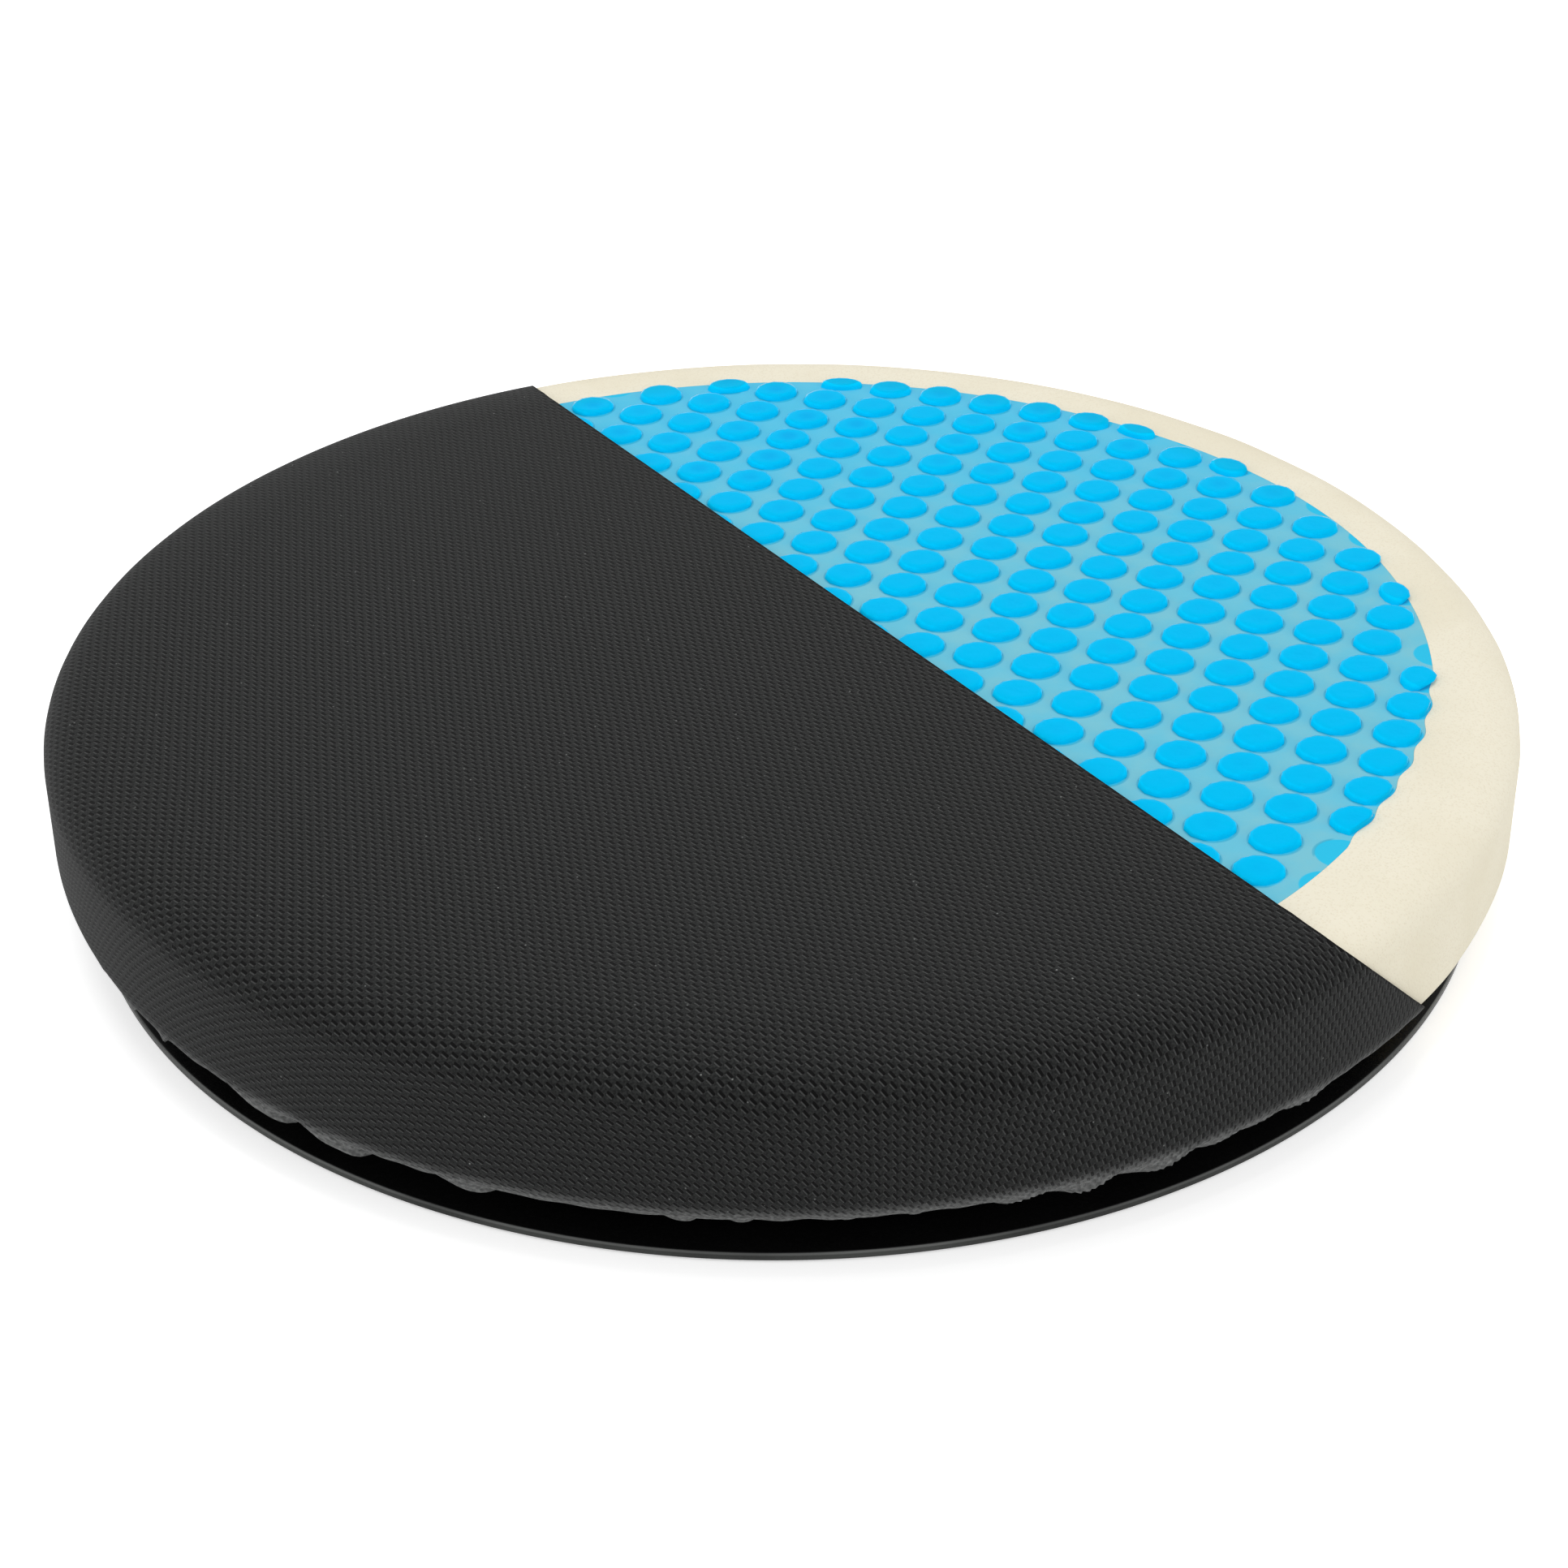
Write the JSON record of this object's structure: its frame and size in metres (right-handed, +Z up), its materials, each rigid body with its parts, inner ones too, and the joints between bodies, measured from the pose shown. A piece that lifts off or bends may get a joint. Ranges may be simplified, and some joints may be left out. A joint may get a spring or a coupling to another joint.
{
  "type": "swivel seat cushion",
  "caption": "Round swivel seat cushion: foam disc, bubble gel pad and cut-away stretch cover on a turntable that turns on caged balls over a flat base.",
  "frame": {"origin": "on the pivot axis, at the surface that the non-slip pads stand on", "axes": "+Z up along the pivot axis; the cover is cut away at a plane that faces 33 degrees from +X towards +Y and slopes down and outwards at 46 degrees from upright"},
  "size_m": [0.399, 0.399, 0.06],
  "materials": {
    "base_plastic": "gloss",
    "turntable_plastic": "satin",
    "pad_rubber": "matte",
    "nylon": "satin",
    "steel": "polished",
    "foam": "matte",
    "gel": "gloss",
    "cover_fabric": "matte",
    "elastic": "matte"
  },
  "bodies": {
    "base": {"base_plate": "base_plastic", "non_slip_pad_1": "pad_rubber", "non_slip_pad_2": "pad_rubber", "non_slip_pad_3": "pad_rubber", "non_slip_pad_4": "pad_rubber", "non_slip_pad_5": "pad_rubber", "non_slip_pad_6": "pad_rubber", "non_slip_pad_7": "pad_rubber", "non_slip_pad_8": "pad_rubber", "pivot_bush": "nylon", "thrust_washer": "nylon"},
    "ball_ring": {"ball_cage": "nylon", "bearing_ball_01": "steel", "bearing_ball_02": "steel", "bearing_ball_03": "steel", "bearing_ball_04": "steel", "bearing_ball_05": "steel", "bearing_ball_06": "steel", "bearing_ball_07": "steel", "bearing_ball_08": "steel", "bearing_ball_09": "steel", "bearing_ball_10": "steel", "bearing_ball_11": "steel", "bearing_ball_12": "steel", "bearing_ball_13": "steel", "bearing_ball_14": "steel", "bearing_ball_15": "steel", "bearing_ball_16": "steel", "bearing_ball_17": "steel", "bearing_ball_18": "steel"},
    "seat": {"turntable_plate": "turntable_plastic", "pivot_rivet": "steel", "rivet_washer": "steel", "foam_disc": "foam", "gel_pad": "gel", "cover": "cover_fabric", "hem_elastic": "elastic"}
  },
  "joints": [
    {"name": "seat_swivel", "type": "hinge", "parent": "base", "child": "seat", "pos_m": [0, 0, 0], "axis": [0, 0, 1], "continuous": true},
    {"name": "ball_ring_turn", "type": "hinge", "parent": "base", "child": "ball_ring", "pos_m": [0, 0, 0], "axis": [0, 0, 1], "continuous": true}
  ],
  "couplings": [
    {"joint": "ball_ring_turn", "follows": "seat_swivel", "ratio": 0.5}
  ]
}
